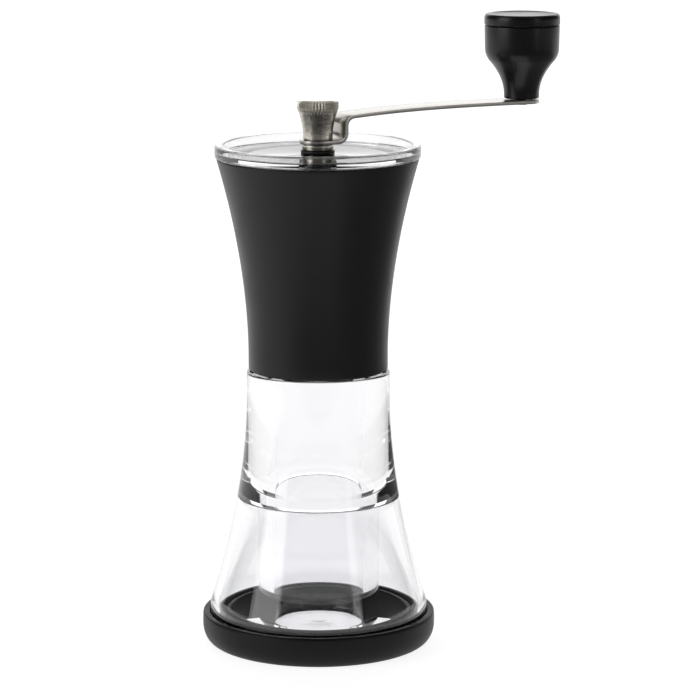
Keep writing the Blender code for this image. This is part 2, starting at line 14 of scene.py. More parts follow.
import bmesh
import bpy
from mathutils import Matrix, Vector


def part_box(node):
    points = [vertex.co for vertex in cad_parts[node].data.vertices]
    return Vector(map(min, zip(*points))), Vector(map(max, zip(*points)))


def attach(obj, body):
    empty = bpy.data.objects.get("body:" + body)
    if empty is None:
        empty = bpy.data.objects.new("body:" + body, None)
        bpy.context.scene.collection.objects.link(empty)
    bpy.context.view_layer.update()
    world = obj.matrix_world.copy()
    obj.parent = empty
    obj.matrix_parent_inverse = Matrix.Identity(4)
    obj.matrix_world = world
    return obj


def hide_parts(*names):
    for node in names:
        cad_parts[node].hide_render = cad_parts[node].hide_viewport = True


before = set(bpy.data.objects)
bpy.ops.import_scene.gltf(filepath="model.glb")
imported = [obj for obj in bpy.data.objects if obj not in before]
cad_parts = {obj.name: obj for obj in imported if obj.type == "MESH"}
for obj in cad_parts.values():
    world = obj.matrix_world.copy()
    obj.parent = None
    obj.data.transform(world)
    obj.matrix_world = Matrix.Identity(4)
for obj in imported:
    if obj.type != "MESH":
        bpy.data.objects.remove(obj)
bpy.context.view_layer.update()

MM = 0.001
FINE = 160  # steps round a large turned piece
SMALL = 96  # steps round a small turned piece
SHAFT_BORE = 3.65  # round the shaft
THREAD_BORE = 3.05  # round its thread
GAP = 0.3  # between pieces that rest on each other
CRANK_ANGLE = math.radians(25.0)
LOG = logging.getLogger("grinder")

Point = tuple[float, float]
Corner = tuple[float, float, float]
Solid = bpy.types.Object
Tree = bpy.types.NodeTree
Node = bpy.types.Node
Socket = bpy.types.NodeSocket


# ---- measuring the frame ----


@dataclass(frozen=True)
class Extent:
    """Where a CAD node stands: its radius and its lowest and highest point, in millimetres."""

    radius: float
    low: float
    high: float
    x: float
    y: float


def extent(node: str) -> Extent:
    """Measure a CAD node.

    Args:
        node: The node's name in the frame.

    Returns:
        Its extent, with the middle of its box in x and y.
    """
    low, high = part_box(node)
    return Extent(
        radius=(high.x - low.x) / 2 / MM,
        low=low.z / MM,
        high=high.z / MM,
        x=(low.x + high.x) / 2 / MM,
        y=(low.y + high.y) / 2 / MM,
    )


# ---- outlines ----


def rounded(corners: Sequence[Corner], closed: bool = False, parts: int = 5) -> list[Point]:
    """Round the corners of an outline.

    Args:
        corners: Each corner as radius, height and the size of its rounding.
        closed: Whether the last corner joins the first.
        parts: Segments in each rounding.

    Returns:
        The outline's points, as radius and height.
    """
    points: list[Point] = []
    count = len(corners)
    for i, (r, z, size) in enumerate(corners):
        at_end = not closed and i in (0, count - 1)
        if size <= 0.0 or at_end:
            points.append((r, z))
            continue
        before, after = corners[i - 1], corners[(i + 1) % count]
        arms = []
        for other in (before, after):
            dr, dz = other[0] - r, other[1] - z
            length = math.hypot(dr, dz)
            reach = min(size, 0.49 * length) / length
            arms.append((r + dr * reach, z + dz * reach))
        (r0, z0), (r1, z1) = arms
        for k in range(parts + 1):
            t = k / parts
            a, b, c = (1 - t) ** 2, 2 * t * (1 - t), t**2
            points.append((a * r0 + b * r + c * r1, a * z0 + b * z + c * z1))
    return points


def run(start: float, end: float, count: int) -> list[float]:
    """Values from start to end, both included, in count steps."""
    return [start + (end - start) * i / count for i in range(count + 1)]


def corner_row(radius_at: Callable[[float], float], heights: Sequence[float]) -> list[Corner]:
    """Corners along a curved wall, with no rounding of their own."""
    return [(radius_at(z), z, 0.0) for z in heights]


def upright(radius: float, start: float, end: float, count: int) -> list[Corner]:
    """Corners up or down a straight wall, so that a pattern can be pressed into it."""
    return [(radius, z, 0.0) for z in run(start, end, count)]


# ---- modelling ----


def deselect() -> None:
    """Leave edit mode and deselect every object."""
    if bpy.context.object and bpy.context.object.mode != "OBJECT":
        bpy.ops.object.mode_set(mode="OBJECT")
    bpy.ops.object.select_all(action="DESELECT")


def activate(piece: Solid) -> None:
    """Make a piece the only selected and the active one."""
    deselect()
    piece.select_set(True)
    bpy.context.view_layer.objects.active = piece


def start_vertex(name: str, x: float, y: float, z: float) -> Solid:
    """Start a mesh from a plane that is merged to one selected vertex, in edit mode.

    Args:
        name: The new object's name.
        x, y, z: The vertex's place, in millimetres.

    Returns:
        The object, at the world origin and in edit mode.
    """
    deselect()
    bpy.ops.mesh.primitive_plane_add(size=MM, location=(x * MM, y * MM, z * MM))
    piece = bpy.context.object
    piece.name = piece.data.name = name
    bpy.ops.object.transform_apply(location=True, rotation=True, scale=True)
    bpy.ops.object.mode_set(mode="EDIT")
    bpy.ops.mesh.select_mode(type="VERT")
    bpy.ops.mesh.select_all(action="SELECT")
    bpy.ops.mesh.merge(type="CENTER")
    return piece


def turn(name: str, outline: Sequence[Point], steps: int = FINE, ring: bool = False) -> Solid:
    """Turn an outline round the world Z axis, as on a lathe.

    Args:
        name: The piece's name.
        outline: Points as radius and height, in millimetres.
        steps: Segments round the axis.
        ring: Whether the outline is a closed loop. Any other starts and ends on the axis.

    Returns:
        The turned, smooth-shaded piece.
    """
    points = list(outline) + ([outline[0]] if ring else [])
    (r, z), rest = points[0], points[1:]
    piece = start_vertex(name, r, 0.0, z)
    for next_r, next_z in rest:
        step = ((next_r - r) * MM, 0.0, (next_z - z) * MM)
        bpy.ops.mesh.extrude_vertices_move(TRANSFORM_OT_translate={"value": step})
        r, z = next_r, next_z
    bpy.ops.mesh.select_all(action="SELECT")
    bpy.ops.mesh.remove_doubles(threshold=0.002 * MM)
    bpy.ops.mesh.select_all(action="SELECT")
    bpy.ops.mesh.spin(steps=steps, angle=2 * math.pi, center=(0, 0, 0), axis=(0, 0, 1))
    return close_up(piece)


def lathe(
    name: str, corners: Sequence[Corner], steps: int = FINE, ring: bool = False, parts: int = 5
) -> Solid:
    """Turn an outline whose corners are rounded in some parts each."""
    return turn(name, rounded(corners, ring, parts), steps, ring)


def flat_ring(
    name: str, node: str, bore: float, edge: float, inner: float, parts: int = 3, steps: int = SMALL
) -> Solid:
    """Turn a washer to a CAD node's size, with an outer and an inner edge rounding."""
    at = extent(node)
    wall = [(at.radius, at.high, edge), (at.radius, at.low, edge)]
    corners = [*wall, (bore, at.low, inner), (bore, at.high, inner)]
    return lathe(name, corners, steps, True, parts)


def close_up(piece: Solid, sharp_degrees: float = 32.0) -> Solid:
    """Merge doubles, point the faces outwards, leave edit mode and shade the piece smooth."""
    bpy.ops.mesh.select_all(action="SELECT")
    bpy.ops.mesh.remove_doubles(threshold=0.002 * MM)
    bpy.ops.mesh.normals_make_consistent(inside=False)
    bpy.ops.object.mode_set(mode="OBJECT")
    return smooth(piece, sharp_degrees)


def smooth(piece: Solid, sharp_degrees: float = 32.0) -> Solid:
    """Shade a piece smooth, with edges sharper than an angle kept crisp."""
    activate(piece)
    bpy.ops.object.shade_smooth_by_angle(angle=math.radians(sharp_degrees))
    return piece


def press(
    piece: Solid,
    depth: float,
    radius: float,
    heights: tuple[float, float],
    amount_at: Callable[[float, float], float],
    within: tuple[float, float] = (0.0, 1000.0),
    levels: int = 6,
) -> Solid:
    """Press flutes, teeth or a thread into a turned wall.

    Args:
        piece: The turned piece.
        depth: How deep the pattern goes, in millimetres. Negative raises it.
        radius: The wall's radius, in millimetres.
        heights: Lowest and highest height that the pattern reaches.
        amount_at: Share of the depth, 0 to 1, at an angle in radians and a height in millimetres.
        within: Smallest and largest radius that the pattern touches.
        levels: How many depths the pattern is cut in.

    Returns:
        The same piece.
    """
    activate(piece)
    bpy.ops.object.mode_set(mode="EDIT")
    bpy.ops.mesh.select_mode(type="VERT")
    mesh = bmesh.from_edit_mesh(piece.data)
    depths: list[int] = []
    for vert in mesh.verts:
        z, r = vert.co.z / MM, math.hypot(vert.co.x, vert.co.y) / MM
        inside = heights[0] <= z <= heights[1] and within[0] <= r <= within[1]
        amount = amount_at(math.atan2(vert.co.y, vert.co.x), z) if inside else 0.0
        depths.append(round(levels * max(0.0, min(1.0, amount))))
    for level in range(1, levels + 1):
        mesh = bmesh.from_edit_mesh(piece.data)
        for vert, its_level in zip(mesh.verts, depths):
            vert.select_set(its_level == level)
        mesh.select_flush_mode()
        bmesh.update_edit_mesh(piece.data)
        if level in depths:
            factor = 1.0 - depth * level / levels / radius
            bpy.ops.transform.resize(value=(factor, factor, 1.0), center_override=(0.0, 0.0, 0.0))
    bpy.ops.object.mode_set(mode="OBJECT")
    return piece


def block(name: str, size: tuple[float, float, float], middle: tuple[float, float, float]) -> Solid:
    """Add a box by its size and middle, in millimetres."""
    deselect()
    bpy.ops.mesh.primitive_cube_add(size=1.0, location=[v * MM for v in middle])
    piece = bpy.context.object
    piece.name = piece.data.name = name
    piece.scale = [v * MM for v in size]
    bpy.ops.object.transform_apply(location=True, rotation=True, scale=True)
    return piece


def drill(name: str, radius: float, low: float, high: float, x: float = 0.0, flat: float = 0.0) -> Solid:
    """Add an upright round cutter, with two flats where flat is over 0."""
    deselect()
    middle = (x * MM, 0.0, (low + high) / 2 * MM)
    bpy.ops.mesh.primitive_cylinder_add(
        vertices=64, radius=radius * MM, depth=(high - low) * MM, location=middle
    )
    piece = bpy.context.object
    piece.name = name
    bpy.ops.object.transform_apply(location=True)
    if flat > 0.0:
        bpy.ops.object.mode_set(mode="EDIT")
        for side in (1, -1):
            bpy.ops.mesh.select_all(action="SELECT")
            place, facing = (side * flat * MM, 0.0, 0.0), (side, 0.0, 0.0)
            bpy.ops.mesh.bisect(plane_co=place, plane_no=facing, use_fill=True, clear_outer=True)
        bpy.ops.object.mode_set(mode="OBJECT")
    return piece


def modify(piece: Solid, kind: str, **settings: object) -> Solid:
    """Add a modifier with its settings and apply it."""
    activate(piece)
    modifier = piece.modifiers.new(kind.lower(), kind)
    for key, value in settings.items():
        setattr(modifier, key, value)
    bpy.ops.object.modifier_apply(modifier=modifier.name)
    return piece


def combine(piece: Solid, other: Solid, operation: str = "DIFFERENCE") -> Solid:
    """Cut a piece with another, or join them, and remove the other."""
    modify(piece, "BOOLEAN", operation=operation, solver="EXACT", object=other)
    bpy.data.objects.remove(other)
    return piece


def soften(piece: Solid, width: float, segments: int = 3, angle: float = 40.0) -> Solid:
    """Round a piece's edges and shade it smooth."""
    modify(
        piece,
        "BEVEL",
        width=width * MM,
        segments=segments,
        limit_method="ANGLE",
        angle_limit=math.radians(angle),
        use_clamp_overlap=True,
        harden_normals=False,
    )
    return smooth(piece)


def settle(piece: Solid, x: float = 0.0, y: float = 0.0, angle: float = 0.0) -> Solid:
    """Turn a piece about the world Z axis, then move it, and keep its place in its mesh."""
    activate(piece)
    piece.rotation_euler.z = angle
    piece.location = (x * MM, y * MM, 0.0)
    bpy.ops.object.transform_apply(location=True, rotation=True, scale=True)
    return piece


# ---- finishes ----


class Grain(Enum):
    """How a surface was made, which sets its fine texture."""

    MOULDED = "moulded"
    POLISHED = "polished"
    BRUSHED = "brushed"
    TURNED = "turned"
    SINTERED = "sintered"


def linear(colour: str) -> tuple[float, float, float, float]:
    """Turn an sRGB hex value such as #1a2b3c to linear RGBA."""
    channels = [int(colour[i : i + 2], 16) / 255 for i in (1, 3, 5)]
    return (*[c / 12.92 if c <= 0.04045 else ((c + 0.055) / 1.055) ** 2.4 for c in channels], 1.0)


def add_node(
    tree: Tree,
    kind: str,
    settings: dict[str | int, object] | None = None,
    links: dict[str | int, Socket] | None = None,
) -> Node:
    """Add a shader node.

    Args:
        tree: The material's node tree.
        kind: The node's type.
        settings: Node properties in lower case, and input values by name or number.
        links: Sockets that feed its inputs, by input name or number.

    Returns:
        The new node.
    """
    node = tree.nodes.new(kind)
    for key, value in (settings or {}).items():
        if isinstance(key, str) and key[0].islower():
            setattr(node, key, value)
        else:
            node.inputs[key].default_value = value
    for key, socket in (links or {}).items():
        tree.links.new(socket, node.inputs[key])
    return node


@dataclass(frozen=True)
class Finish:
    """A material: what it is, how it was made, and how it looks.

    Colours are sRGB. grain is the real size of the surface's texture and relief its height, both in
    millimetres. play is how far the roughness wanders, and shade how far the colour does. gloss is the
    share of its reflection that a fine matt skin leaves, where 0.5 is all of it.
    """

    name: str
    slot: str
    colour: str
    roughness: float
    made: Grain = Grain.MOULDED
    metallic: float = 0.0
    ior: float = 1.5
    grain: float = 0.3
    relief: float = 0.01
    play: float = 0.06
    shade: float = 0.1
    gloss: float = 0.5

    def material(self) -> bpy.types.Material:
        """Build the material, or return it if it is there already."""
        made = bpy.data.materials.get(self.name)
        if made:
            return made
        made = bpy.data.materials.new(self.name)
        made.use_nodes = True
        tree = made.node_tree
        shader = tree.nodes["Principled BSDF"]
        shader.inputs["Base Color"].default_value = linear(self.colour)
        shader.inputs["Roughness"].default_value = self.roughness
        shader.inputs["Metallic"].default_value = self.metallic
        if self.metallic < 0.5:
            shader.inputs["IOR"].default_value = self.ior
            shader.inputs["Specular IOR Level"].default_value = self.gloss
        if self.made is Grain.POLISHED:
            shader.inputs["Transmission Weight"].default_value = 1.0
            self._waviness(tree, shader)
        else:
            self._texture(tree, shader)
        return made

    def _place(self, tree: Tree) -> Socket:
        """Coordinates in the pattern's own directions, in units of one grain."""
        place = add_node(tree, "ShaderNodeTexCoord").outputs["Object"]
        per_grain = 1.0 / (self.grain * MM)
        if self.made is Grain.BRUSHED:
            # Brush lines run along the strip and are some 120 times longer than they are wide.
            turned = {"Rotation": (0.0, 0.0, -CRANK_ANGLE)}
            along = add_node(tree, "ShaderNodeMapping", turned, {"Vector": place})
            stretch = {"Scale": (per_grain / 120.0, per_grain, per_grain)}
            return add_node(tree, "ShaderNodeMapping", stretch, {"Vector": along.outputs[0]}).outputs[0]
        if self.made is Grain.TURNED:
            # Lathe lines run round the axis, so they depend on the radius and the height alone.
            x, y, z = add_node(tree, "ShaderNodeSeparateXYZ", None, {0: place}).outputs
            flat = add_node(tree, "ShaderNodeCombineXYZ", None, {0: x, 1: y}).outputs[0]
            length = add_node(tree, "ShaderNodeVectorMath", {"operation": "LENGTH"}, {0: flat})
            radius = length.outputs["Value"]
            place = add_node(tree, "ShaderNodeCombineXYZ", None, {0: radius, 1: z}).outputs[0]
        scaled = add_node(tree, "ShaderNodeMapping", {"Scale": (per_grain,) * 3}, {"Vector": place})
        return scaled.outputs[0]

    def _texture(self, tree: Tree, shader: Node) -> None:
        """Fine relief, a wandering roughness and a slightly uneven colour."""
        place = self._place(tree)
        detail = {Grain.SINTERED: 5.0, Grain.BRUSHED: 3.0}.get(self.made, 2.0)
        fine = add_node(tree, "ShaderNodeTexNoise", {"Scale": 1.0, "Detail": detail}, {"Vector": place})
        self._relief(tree, shader, fine)
        whole = add_node(tree, "ShaderNodeTexCoord").outputs["Object"]
        # Handling and moulding leave broad, soft patches some 12 mm across.
        settings = {"Scale": 1.0 / (12.0 * MM), "Detail": 3.0}
        broad = add_node(tree, "ShaderNodeTexNoise", settings, {"Vector": whole})
        source = fine if self.made in (Grain.BRUSHED, Grain.TURNED) else broad
        wander = {"From Min": 0.3, "From Max": 0.7}
        wander.update({"To Min": self.roughness - self.play, "To Max": self.roughness + self.play})
        rough = add_node(tree, "ShaderNodeMapRange", wander, {"Value": source.outputs["Fac"]})
        tree.links.new(rough.outputs["Result"], shader.inputs["Roughness"])
        base = linear(self.colour)
        ramp = add_node(tree, "ShaderNodeValToRGB", None, {"Fac": source.outputs["Fac"]})
        ramp.color_ramp.elements[0].position = 0.3
        ramp.color_ramp.elements[1].position = 0.7
        for element, side in zip(ramp.color_ramp.elements, (1.0 - self.shade, 1.0 + self.shade)):
            element.color = (*[min(1.0, c * side) for c in base[:3]], 1.0)
        tree.links.new(ramp.outputs["Color"], shader.inputs["Base Color"])

    def _waviness(self, tree: Tree, shader: Node) -> None:
        """The faint swell of polished clear plastic, which bends what is seen through it."""
        place = self._place(tree)
        swell = add_node(tree, "ShaderNodeTexNoise", {"Scale": 1.0, "Detail": 1.0}, {"Vector": place})
        self._relief(tree, shader, swell)

    def _relief(self, tree: Tree, shader: Node, noise: Node) -> None:
        """Raise the surface by a noise."""
        settings = {"Strength": 1.0, "Distance": self.relief * MM}
        bump = add_node(tree, "ShaderNodeBump", settings, {"Height": noise.outputs["Fac"]})
        tree.links.new(bump.outputs[0], shader.inputs["Normal"])


# Silicone: soft and dull, with a fine bloom that lifts its edges a little.
SILICONE = Finish(
    "silicone_moulded", "silicone", "#0d0d0f", 0.46, ior=1.41, grain=0.15, relief=0.004, play=0.04, gloss=0.25
)
# Acrylic: water clear, with a high polish.
ACRYLIC = Finish(
    "acrylic_clear_polished", "clear_acrylic", "#fbfbfc", 0.0, Grain.POLISHED, ior=1.49, grain=18.0,
    relief=0.012,
)
# Polypropylene from a spark-eroded mould: an even, fine matt.
BODY_BLACK = Finish(
    "polypropylene_fine_matt", "body_plastic", "#0c0c0c", 0.38, grain=0.22, relief=0.006, play=0.03, gloss=0.3
)
# Nylon: the inner mouldings, a little glossier.
NYLON_BLACK = Finish("nylon_black_moulded", "inner_plastic", "#1c1c1c", 0.42, ior=1.53, grain=0.3)
# ABS: the grip, a satin moulding.
KNOB_BLACK = Finish(
    "abs_black_satin", "knob_plastic", "#0b0b0b", 0.28, ior=1.54, grain=0.2, relief=0.003, play=0.03,
    gloss=0.3,
)
# Alumina ceramic: white, dense, with a fine sintered skin.
CERAMIC = Finish(
    "alumina_sintered", "ceramic", "#e9e6dc", 0.35, Grain.SINTERED, ior=1.77, grain=0.12, relief=0.006
)
# Stainless strip, brushed lengthways.
STRIP_STEEL = Finish(
    "stainless_brushed_strip", "stainless", "#bcb9b3", 0.26, Grain.BRUSHED, 1.0, grain=0.14, relief=0.003,
    play=0.1, shade=0.12,
)
# Stainless, turned on a lathe: fine rings round the axis.
TURNED_STEEL = Finish(
    "stainless_turned", "stainless", "#dcd7cc", 0.25, Grain.TURNED, 1.0, grain=0.16, relief=0.003, play=0.08,
    shade=0.1,
)
# Spring steel, drawn wire and stampings.
SPRING_STEEL = Finish("spring_steel_drawn", "spring_steel", "#a2a2a4", 0.24, Grain.MOULDED, 1.0, grain=0.5)
# Acetal: the natural white bearing plastic.
ACETAL_WHITE = Finish("acetal_white_moulded", "white_nylon", "#e2dfd6", 0.38, ior=1.48, grain=0.25)
# Bronze: the rivet's upset head.
BRONZE = Finish("bronze_rivet", "rivet", "#8a6547", 0.32, Grain.MOULDED, 1.0, grain=0.3)


@dataclass(frozen=True)
class Piece:
    """A modelled piece with its finish, the body it rides on and the CAD node it stands for."""

    object: Solid
    finish: Finish
    body: str
    node: str

    def dress(self) -> None:
        """Give the piece its material, and tell the frame what it is."""
        mesh = self.object.data
        mesh.materials.clear()
        mesh.materials.append(self.finish.material())
        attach(self.object, self.body)
        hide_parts(self.node)
        LOG.info("%s: %d faces on %s", self.object.name, len(mesh.polygons), self.body)


# ---- sub-assemblies ----


@dataclass(frozen=True)
class Foot:
    """The silicone channel ring that the jar stands in."""

    rim_high: float = 11.8
    wall: float = 2.6
    lip_wall: float = 1.8
    floor: float = 3.2
    opening: float = 33.5
    flat_radius: float = 39.8
    shoulder_high: float = 7.0

    def pieces(self) -> Iterator[Piece]:
        """Model the ring."""
        ring = extent("base_ring")
        belly = ring.radius - self.flat_radius
        under = [
            (self.flat_radius + belly * math.cos(a), self.shoulder_high * (1 - math.sin(a)), 0.0)
            for a in (math.radians(d) for d in run(0.0, 90.0, 14))
        ]
        corners = [
            (ring.radius - self.wall, self.rim_high, 0.5), (ring.radius - 0.15, self.rim_high, 0.9),
            (ring.radius, self.rim_high - 2.4, 1.0),
            *under,
            (self.opening, 0.0, 0.5), (self.opening, ring.high, 0.7),
            (self.opening + self.lip_wall - 0.1, ring.high, 0.6),
            (self.opening + self.lip_wall - 0.1, self.floor, 0.4),
            (ring.radius - self.wall, self.floor, 0.4),
        ]
        yield Piece(lathe("silicone_foot", corners, ring=True), SILICONE, "base", "base_ring")


@dataclass(frozen=True)
class Jar:
    """The clear jar: a flared skirt, a solid waist, a narrow hanging cup and a threaded neck."""

    flare: float = 15.27
    waist_radius: float = 27.02
    waist_high: float = 96.0
    flare_power: float = 1.85
    skirt_top: float = 15.0
    skirt_wall: float = 2.8
    void_top: float = 56.0
    cup_radius: float = 22.95
    bore: float = 17.3
    cup_bottom: float = 4.8
    cup_floor: float = 7.2
    shoulder_edge: float = 1.2
    neck_core: float = 21.5
    thread_pitch: float = 3.2
    gate_radius: float = 2.4

    def outer(self, z: float) -> float:
        """The outer radius at a height."""
        drop = max(0.0, (self.waist_high - z) / (self.waist_high - 12.0))
        return self.waist_radius + self.flare * drop**self.flare_power

    def pieces(self) -> Iterator[Piece]:
        """Model the jar."""
        jar = extent("jar")
        shoulder = extent("hopper_shell").low - GAP
        inner = corner_row(lambda z: self.outer(z) - self.skirt_wall, run(self.skirt_top + 1.0, 53.0, 26))
        corners = [
            (0.0, self.cup_floor + 0.15, 0.0), (self.gate_radius, self.cup_floor + 0.15, 0.15),
            (self.gate_radius + 0.2, self.cup_floor, 0.1), (self.bore, self.cup_floor, 0.9),
            (self.bore, jar.high, 0.6), (self.neck_core, jar.high, 0.6),
            *upright(self.neck_core, jar.high - 1.4, shoulder + 1.6, 34),
            (self.neck_core, shoulder, 0.5), (self.outer(shoulder), shoulder, self.shoulder_edge),
            *corner_row(self.outer, run(shoulder - 3.0, self.skirt_top + 1.0, 56)),
            (jar.radius, self.skirt_top - 0.4, 0.8), (jar.radius, jar.low, 0.5),
            (jar.radius - self.skirt_wall, jar.low, 0.5),
            (jar.radius - self.skirt_wall, self.skirt_top - 1.0, 0.8),
            *inner,
            (self.outer(self.void_top) - self.skirt_wall, self.void_top, 0.8),
            (self.cup_radius, self.void_top, 0.8), (self.cup_radius, self.cup_bottom, 4.0),
            (0.0, self.cup_bottom, 0.0),
        ]
        piece = lathe("clear_jar", corners, 192, parts=6)
        low, high = shoulder + 1.6, jar.high - 1.4

        def thread(angle: float, z: float) -> float:
            """One and a half turns of a rounded ridge, faded out at both ends."""
            along = (z - low) / self.thread_pitch - angle / (2 * math.pi)
            ridge = max(0.0, 1.0 - abs(along - round(along)) * 4.0)
            return ridge * min(1.0, (z - low) / 1.0, (high - z) / 1.0)

        press(piece, -0.85, self.neck_core, (low, high), thread, (self.neck_core - 0.1, self.neck_core + 0.1))
        yield Piece(smooth(piece), ACRYLIC, "jar", "jar")


@dataclass(frozen=True)
class Hopper:
    """The flared black body with its funnel, its bearing bridge and the bridge's bush."""

    waist_radius: float = 26.27
    waist_high: float = 111.0
    flare_power: float = 1.85
    wall: float = 2.4
    recess: float = 22.85
    shelf_low: float = 118.8
    shelf_thick: float = 2.2
    shelf_opening: float = 19.3
    collar_in: float = 19.4
    throat: float = 16.2
    rim: float = 31.6
    collar_out: float = 22.4
    collar_top: float = 146.0
    throat_top: float = 137.0
    hub: float = 7.2
    bridge_arm: float = 4.6

    def outer(self, z: float) -> float:
        """The body's outer radius at a height."""
        shell = extent("hopper_shell")
        rise = max(0.0, (z - self.waist_high) / (shell.high - self.waist_high))
        return self.waist_radius + (shell.radius - self.waist_radius) * rise**self.flare_power

    def pieces(self) -> Iterator[Piece]:
        """Model the body's four pieces."""
        yield Piece(self.shell(), BODY_BLACK, "hopper", "hopper_shell")
        yield Piece(self.funnel(), NYLON_BLACK, "hopper", "hopper_funnel")
        yield Piece(self.bridge(), NYLON_BLACK, "hopper", "bearing_bridge")
        yield Piece(self.bush(), ACETAL_WHITE, "hopper", "upper_bush")

    def shell(self) -> Solid:
        """The outer body, with a recess below that the jar's neck goes into."""
        shell = extent("hopper_shell")
        shelf_top = self.shelf_low + self.shelf_thick
        low, high = shell.low + 1.2, self.shelf_low - 1.0
        corners = [
            (self.outer(shell.high) - self.wall, shell.high, 0.5), (shell.radius, shell.high, 0.6),
            *corner_row(self.outer, run(shell.high - 2.0, self.waist_high, 56)),
            (self.waist_radius, shell.low, 1.1), (self.recess, shell.low, 0.5),
            *upright(self.recess, low, high, 30),
            (self.recess, self.shelf_low, 0.3), (self.shelf_opening, self.shelf_low, 0.3),
            (self.shelf_opening, shelf_top, 0.3), (self.outer(shelf_top) - self.wall, shelf_top, 0.8),
            *corner_row(lambda z: self.outer(z) - self.wall, run(126.0, shell.high - 2.0, 36)),
        ]
        return lathe("hopper_body", corners, 192, True)

    def funnel(self) -> Solid:
        """The funnel that leads the beans down to the burrs."""
        funnel = extent("hopper_funnel")
        lip = extent("outer_burr").high + 0.4
        corners = [
            (funnel.radius, funnel.high, 0.4), (funnel.radius, funnel.high - 1.4, 0.4),
            (self.rim, funnel.high - 1.4, 0.6), (self.collar_out, self.collar_top, 3.0),
            (self.collar_out, funnel.low, 0.4), (self.collar_in, funnel.low, 0.3),
            (self.collar_in, lip, 0.3), (self.throat, lip, 0.3), (self.throat, self.throat_top, 2.0),
            (20.6, self.collar_top + 1.5, 3.0), (30.0, funnel.high - 1.6, 0.6),
            (30.5, funnel.high, 0.4),
        ]
        return lathe("bean_funnel", corners, ring=True)

    def bridge(self) -> Solid:
        """A ring in the funnel, a hub on the axis and three arms between them."""
        bridge = extent("bearing_bridge")
        low, high = bridge.low, bridge.high
        rim = [(22.9, high), (20.95, low), (19.2, low), (20.6, high)]
        ring = turn("bearing_bridge_moulding", rim, SMALL, True)
        bore = extent("upper_bush").radius - 1.2
        hub = turn("hub", [(self.hub, high), (self.hub, low), (bore, low), (bore, high)], SMALL, True)
        combine(ring, hub, "UNION")
        for i in range(3):
            arm = block("arm", (14.2, self.bridge_arm, high - low - 1.0), (13.5, 0.0, (low + high) / 2 - 0.1))
            combine(ring, settle(arm, angle=math.radians(90 + 120 * i)), "UNION")
        return soften(ring, 0.35)

    def bush(self) -> Solid:
        """The flanged bearing bush in the hub."""
        bush = extent("upper_bush")
        flange = bush.high - 1.2
        corners = [
            (bush.radius, bush.high, 0.3), (bush.radius, flange, 0.2), (5.2, flange, 0.1),
            (5.2, bush.low, 0.3), (SHAFT_BORE, bush.low, 0.3), (SHAFT_BORE, bush.high, 0.4),
        ]
        return lathe("shaft_bush", corners, SMALL, True, 3)


